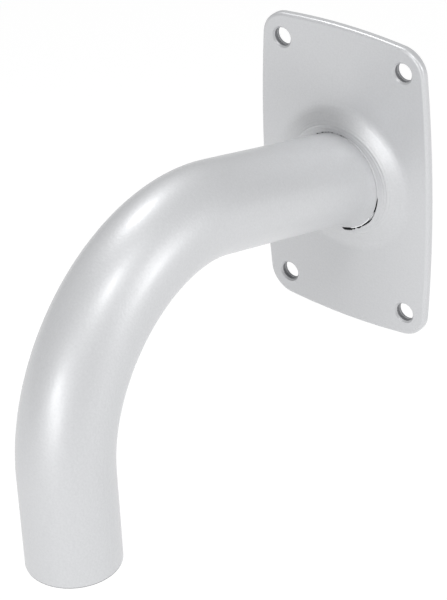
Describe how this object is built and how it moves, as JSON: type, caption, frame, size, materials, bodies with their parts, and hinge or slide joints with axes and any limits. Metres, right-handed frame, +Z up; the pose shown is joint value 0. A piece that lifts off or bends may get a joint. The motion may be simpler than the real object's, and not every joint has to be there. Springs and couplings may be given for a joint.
{
  "type": "camera wall bracket",
  "caption": "Wall arm for a hanging camera: a flared steel tube rises from a drawn oblong wall plate, bends over and ends in a short plumb leg.",
  "frame": {"origin": "middle of the wall plate's back face, in the plane of the wall, at the centre of the screw holes", "axes": "+X to the right across the plate, +Y into the wall, +Z up; the arm reaches out along -Y and its leg points down along -Z"},
  "size_m": [0.107, 0.2553, 0.1951],
  "materials": {
    "silver_lacquer": "satin silver-grey lacquer over steel",
    "lacquered_weld": "the same lacquer over a ground weld bead"
  },
  "bodies": {
    "root": {"wall_plate": "silver_lacquer", "arm_tube": "silver_lacquer", "rear_weld": "lacquered_weld"}
  },
  "joints": []
}
